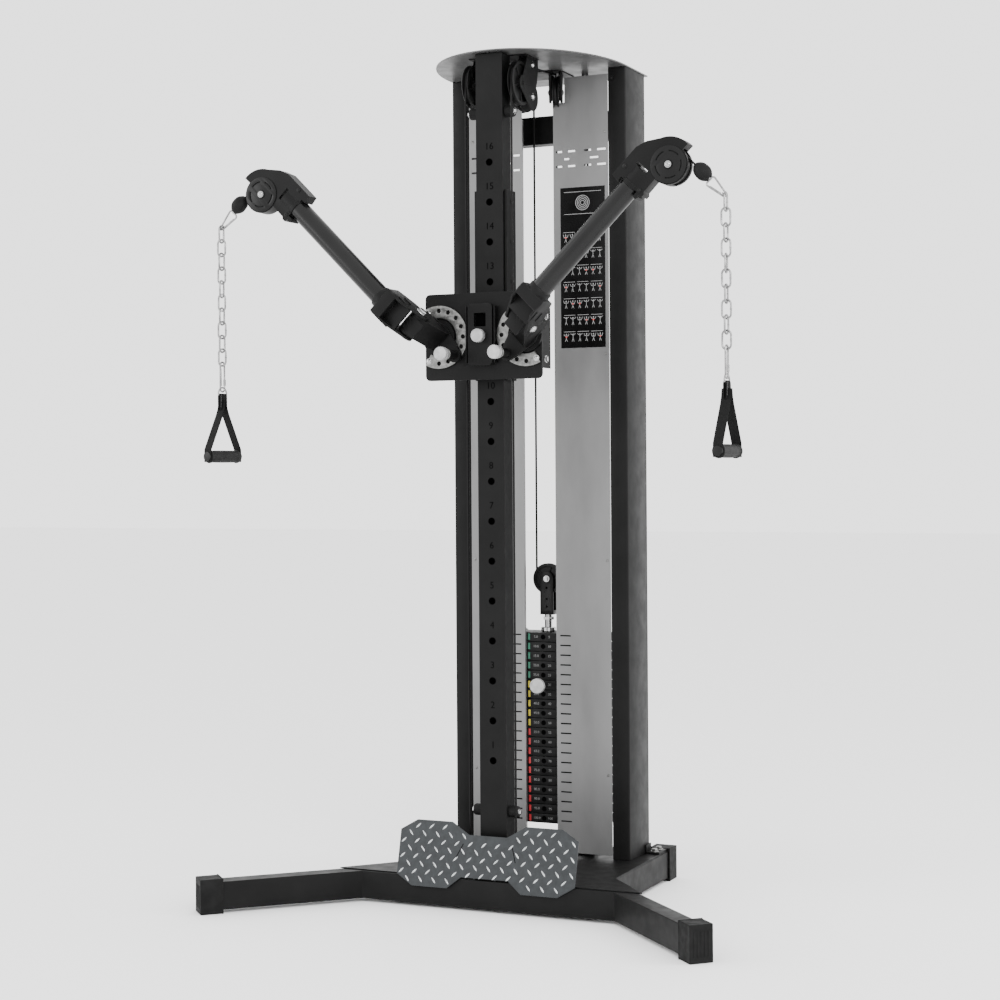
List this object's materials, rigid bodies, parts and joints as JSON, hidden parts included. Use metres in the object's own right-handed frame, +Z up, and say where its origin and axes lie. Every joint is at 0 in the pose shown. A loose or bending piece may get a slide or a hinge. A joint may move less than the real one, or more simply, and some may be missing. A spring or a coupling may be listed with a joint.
{
  "type": "cable crossover machine",
  "caption": "Slim dual-arm cable crossover machine: pivoting pulley arms on a height-set carriage, hanging handles, selectorised weight stack, splayed base.",
  "frame": {"origin": "middle of the floor area under the machine", "axes": "+X to the right as the user faces the machine, +Y from the user towards the back, +Z up"},
  "size_m": [1.4003, 0.8916, 2.149],
  "materials": {
    "frame_black": "satin black powder coat",
    "panel_grey": "satin silver grey coat",
    "zinc_plate": "bright zinc plate",
    "chrome": "polished chrome",
    "rubber_black": "matt moulded rubber",
    "board_black": "gloss printed board",
    "tread_plate": "raised lozenge tread plate",
    "cast_black": "black painted cast iron",
    "cable_black": "nylon-coated steel cable",
    "pulley_black": "moulded nylon",
    "webbing_black": "woven nylon webbing"
  },
  "bodies": {
    "frame": {"front_base": "frame_black", "rear_base": "frame_black", "base_plate": "frame_black", "centre_post": "frame_black", "top_plate": "frame_black", "rear_crossbar": "frame_black", "rear_pulley_bracket": "frame_black", "front_pulley_bracket": "frame_black", "left_upright": "frame_black", "right_upright": "frame_black", "left_panel": "panel_grey", "right_panel": "panel_grey", "footplate": "tread_plate", "exercise_board": "board_black", "lower_bumpers": "rubber_black", "upper_bumpers": "rubber_black", "left_front_cap": "rubber_black", "right_front_cap": "rubber_black", "left_rear_cap": "rubber_black", "right_rear_cap": "rubber_black", "guide_rods": "chrome", "resting_weights": "cast_black", "left_fixed_cable": "cable_black", "right_fixed_cable": "cable_black"},
    "lift": {"lifted_weights": "cast_black", "lift_yoke": "chrome", "left_stack_cable": "cable_black", "right_stack_cable": "cable_black"},
    "selector_pin": {"selector_pin": "chrome"},
    "floating_pulley": {"floating_pulley": "pulley_black"},
    "carriage": {"carriage": "frame_black", "left_index_disc": "zinc_plate", "right_index_disc": "zinc_plate"},
    "carriage_pin": {"carriage_pin": "zinc_plate"},
    "left_rear_pulley": {"left_rear_pulley": "pulley_black"},
    "left_front_pulley": {"left_front_pulley": "pulley_black"},
    "left_arm_hub": {"left_arm_hub": "frame_black"},
    "left_tilt_pin": {"left_tilt_pin": "zinc_plate"},
    "left_arm": {"left_arm": "frame_black"},
    "left_head": {"left_head": "frame_black"},
    "left_head_pulley": {"left_head_pulley": "pulley_black"},
    "left_ball_stop": {"left_ball_stop": "rubber_black"},
    "left_carabiner": {"left_carabiner": "zinc_plate"},
    "left_shackle": {"left_shackle": "zinc_plate"},
    "left_chain": {"left_chain": "zinc_plate"},
    "left_handle": {"left_handle_strap": "webbing_black"},
    "left_grip": {"left_grip": "rubber_black"},
    "right_rear_pulley": {"right_rear_pulley": "pulley_black"},
    "right_front_pulley": {"right_front_pulley": "pulley_black"},
    "right_arm_hub": {"right_arm_hub": "frame_black"},
    "right_tilt_pin": {"right_tilt_pin": "zinc_plate"},
    "right_arm": {"right_arm": "frame_black"},
    "right_head": {"right_head": "frame_black"},
    "right_head_pulley": {"right_head_pulley": "pulley_black"},
    "right_ball_stop": {"right_ball_stop": "rubber_black"},
    "right_carabiner": {"right_carabiner": "zinc_plate"},
    "right_shackle": {"right_shackle": "zinc_plate"},
    "right_chain": {"right_chain": "zinc_plate"},
    "right_handle": {"right_handle_strap": "webbing_black"},
    "right_grip": {"right_grip": "rubber_black"}
  },
  "joints": [
    {"name": "weight_lift", "type": "slide", "parent": "frame", "child": "lift", "axis": [0, 0, 1], "range_m": [0, 1.1], "deforming": ["left_stack_cable", "right_stack_cable"]},
    {"name": "selector_pin_pull", "type": "slide", "parent": "lift", "child": "selector_pin", "axis": [0, -1, 0], "range_m": [0, 0.07]},
    {"name": "floating_pulley_spin", "type": "hinge", "parent": "lift", "child": "floating_pulley", "pos_m": [0, 0.27079, 0.808], "axis": [0, 1, 0], "continuous": true},
    {"name": "carriage_height", "type": "slide", "parent": "frame", "child": "carriage", "axis": [0, 0, 1], "range_m": [-1.04, 0.18]},
    {"name": "carriage_pin_pull", "type": "slide", "parent": "carriage", "child": "carriage_pin", "axis": [0, -1, 0], "range_m": [0, 0.012], "stiffness_N_per_m": 300, "springref_m": -0.01},
    {"name": "left_rear_pulley_spin", "type": "hinge", "parent": "frame", "child": "left_rear_pulley", "pos_m": [-0.048, 0.23079, 2.095], "axis": [0.9342, -0.3567, 0], "continuous": true},
    {"name": "left_front_pulley_spin", "type": "hinge", "parent": "frame", "child": "left_front_pulley", "pos_m": [-0.063, -0.04621, 2.07], "axis": [1, 0, 0], "continuous": true},
    {"name": "left_arm_tilt", "type": "hinge", "parent": "carriage", "child": "left_arm_hub", "pos_m": [-0.119, -0.14421, 1.432], "axis": [0, -1, 0], "range_deg": [-45, 135]},
    {"name": "left_tilt_pin_pull", "type": "slide", "parent": "left_arm_hub", "child": "left_tilt_pin", "axis": [0, -1, 0], "range_m": [0, 0.012], "stiffness_N_per_m": 300, "springref_m": -0.01},
    {"name": "left_arm_swing", "type": "hinge", "parent": "left_arm_hub", "child": "left_arm", "pos_m": [-0.14941, -0.22921, 1.46241], "axis": [-0.7071, 0, -0.7071], "range_deg": [-45, 0]},
    {"name": "left_head_swivel", "type": "hinge", "parent": "left_arm", "child": "left_head", "pos_m": [-0.47255, -0.26921, 1.78555], "axis": [0.7071, 0, -0.7071], "range_deg": [-90, 90]},
    {"name": "left_head_pulley_spin", "type": "hinge", "parent": "left_head", "child": "left_head_pulley", "pos_m": [-0.54376, -0.26921, 1.79878], "axis": [0, -1, 0], "continuous": true},
    {"name": "left_handle_pull", "type": "slide", "parent": "left_head", "child": "left_ball_stop", "axis": [-0.7071, 0, -0.7071], "range_m": [0, 1.1]},
    {"name": "left_carabiner_turn", "type": "hinge", "parent": "left_ball_stop", "child": "left_carabiner", "pos_m": [-0.63589, -0.26921, 1.75939], "axis": [0.7071, 0, -0.7071], "range_deg": [-90, 90]},
    {"name": "left_shackle_sway", "type": "hinge", "parent": "left_carabiner", "child": "left_shackle", "pos_m": [-0.67479, -0.26921, 1.7205], "axis": [-0.7071, 0, -0.7071], "range_deg": [0, 45]},
    {"name": "left_chain_hang", "type": "hinge", "parent": "left_shackle", "child": "left_chain", "pos_m": [-0.67479, -0.26921, 1.7205], "axis": [0, -1, 0], "range_deg": [-135, 45]},
    {"name": "left_handle_swing", "type": "hinge", "parent": "left_chain", "child": "left_handle", "pos_m": [-0.67479, -0.26921, 1.355], "axis": [0.2419, 0.9703, 0], "range_deg": [-45, 45]},
    {"name": "left_grip_spin", "type": "hinge", "parent": "left_handle", "child": "left_grip", "pos_m": [-0.67479, -0.26921, 1.1375], "axis": [0.2419, 0.9703, 0], "continuous": true},
    {"name": "right_rear_pulley_spin", "type": "hinge", "parent": "frame", "child": "right_rear_pulley", "pos_m": [0.048, 0.23079, 2.095], "axis": [0.9342, 0.3567, 0], "continuous": true},
    {"name": "right_front_pulley_spin", "type": "hinge", "parent": "frame", "child": "right_front_pulley", "pos_m": [0.063, -0.04621, 2.07], "axis": [1, 0, 0], "continuous": true},
    {"name": "right_arm_tilt", "type": "hinge", "parent": "carriage", "child": "right_arm_hub", "pos_m": [0.119, -0.14421, 1.432], "axis": [0, 1, 0], "range_deg": [-45, 135]},
    {"name": "right_tilt_pin_pull", "type": "slide", "parent": "right_arm_hub", "child": "right_tilt_pin", "axis": [0, -1, 0], "range_m": [0, 0.012], "stiffness_N_per_m": 300, "springref_m": -0.01},
    {"name": "right_arm_swing", "type": "hinge", "parent": "right_arm_hub", "child": "right_arm", "pos_m": [0.14941, -0.22921, 1.46241], "axis": [-0.7071, 0, 0.7071], "range_deg": [-45, 0]},
    {"name": "right_head_swivel", "type": "hinge", "parent": "right_arm", "child": "right_head", "pos_m": [0.47255, -0.26921, 1.78555], "axis": [0.7071, 0, 0.7071], "range_deg": [-90, 90]},
    {"name": "right_head_pulley_spin", "type": "hinge", "parent": "right_head", "child": "right_head_pulley", "pos_m": [0.54376, -0.26921, 1.79878], "axis": [0, 1, 0], "continuous": true},
    {"name": "right_handle_pull", "type": "slide", "parent": "right_head", "child": "right_ball_stop", "axis": [0.7071, 0, -0.7071], "range_m": [0, 1.1]},
    {"name": "right_carabiner_turn", "type": "hinge", "parent": "right_ball_stop", "child": "right_carabiner", "pos_m": [0.63589, -0.26921, 1.75939], "axis": [0.7071, 0, 0.7071], "range_deg": [-90, 90]},
    {"name": "right_shackle_sway", "type": "hinge", "parent": "right_carabiner", "child": "right_shackle", "pos_m": [0.67479, -0.26921, 1.7205], "axis": [-0.7071, 0, 0.7071], "range_deg": [0, 45]},
    {"name": "right_chain_hang", "type": "hinge", "parent": "right_shackle", "child": "right_chain", "pos_m": [0.67479, -0.26921, 1.7205], "axis": [0, 1, 0], "range_deg": [-135, 45]},
    {"name": "right_handle_swing", "type": "hinge", "parent": "right_chain", "child": "right_handle", "pos_m": [0.67479, -0.26921, 1.355], "axis": [0.1045, 0.9945, 0], "range_deg": [-45, 45]},
    {"name": "right_grip_spin", "type": "hinge", "parent": "right_handle", "child": "right_grip", "pos_m": [0.67479, -0.26921, 1.1375], "axis": [0.1045, 0.9945, 0], "continuous": true}
  ],
  "couplings": [
    {"joint": "left_rear_pulley_spin", "follows": "weight_lift", "rad_per_m": 23.364},
    {"joint": "left_front_pulley_spin", "follows": "weight_lift", "rad_per_m": 20.833},
    {"joint": "left_head_pulley_spin", "follows": "weight_lift", "rad_per_m": 25},
    {"joint": "left_handle_pull", "follows": "weight_lift", "ratio": 1},
    {"joint": "left_carabiner_turn", "follows": "left_head_swivel", "ratio": -1},
    {"joint": "left_shackle_sway", "follows": "left_arm_swing", "ratio": -1},
    {"joint": "left_chain_hang", "follows": "left_arm_tilt", "ratio": -1},
    {"joint": "right_rear_pulley_spin", "follows": "weight_lift", "rad_per_m": 23.364},
    {"joint": "right_front_pulley_spin", "follows": "weight_lift", "rad_per_m": 20.833},
    {"joint": "right_head_pulley_spin", "follows": "weight_lift", "rad_per_m": 25},
    {"joint": "right_handle_pull", "follows": "weight_lift", "ratio": 1},
    {"joint": "right_carabiner_turn", "follows": "right_head_swivel", "ratio": -1},
    {"joint": "right_shackle_sway", "follows": "right_arm_swing", "ratio": -1},
    {"joint": "right_chain_hang", "follows": "right_arm_tilt", "ratio": -1}
  ]
}
